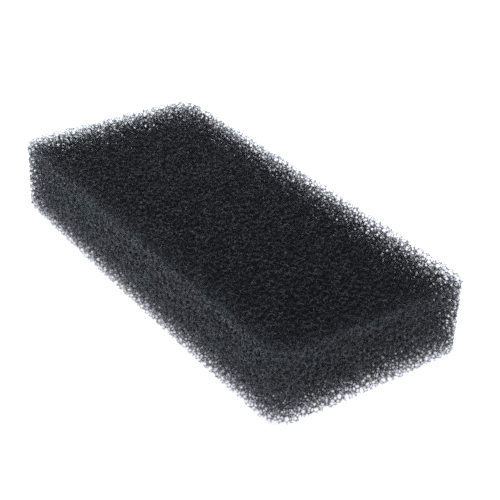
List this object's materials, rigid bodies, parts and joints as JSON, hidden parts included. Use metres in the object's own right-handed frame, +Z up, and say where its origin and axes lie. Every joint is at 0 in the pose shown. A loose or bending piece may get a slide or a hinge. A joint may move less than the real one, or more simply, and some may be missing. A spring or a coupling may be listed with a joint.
{
  "type": "foam air filter element",
  "caption": "Rectangular open-cell foam air filter element with rounded corners, for the pocket of a small engine's air box.",
  "frame": {"origin": "centre of the lower face, at the height that rests on the air box", "axes": "+X along the length, +Y across the width, +Z up through the thickness"},
  "size_m": [0.102, 0.0474, 0.016],
  "materials": {
    "foam": "charcoal open-cell foam, slightly glossy struts"
  },
  "bodies": {
    "root": {"foam_element": "foam"}
  },
  "joints": []
}
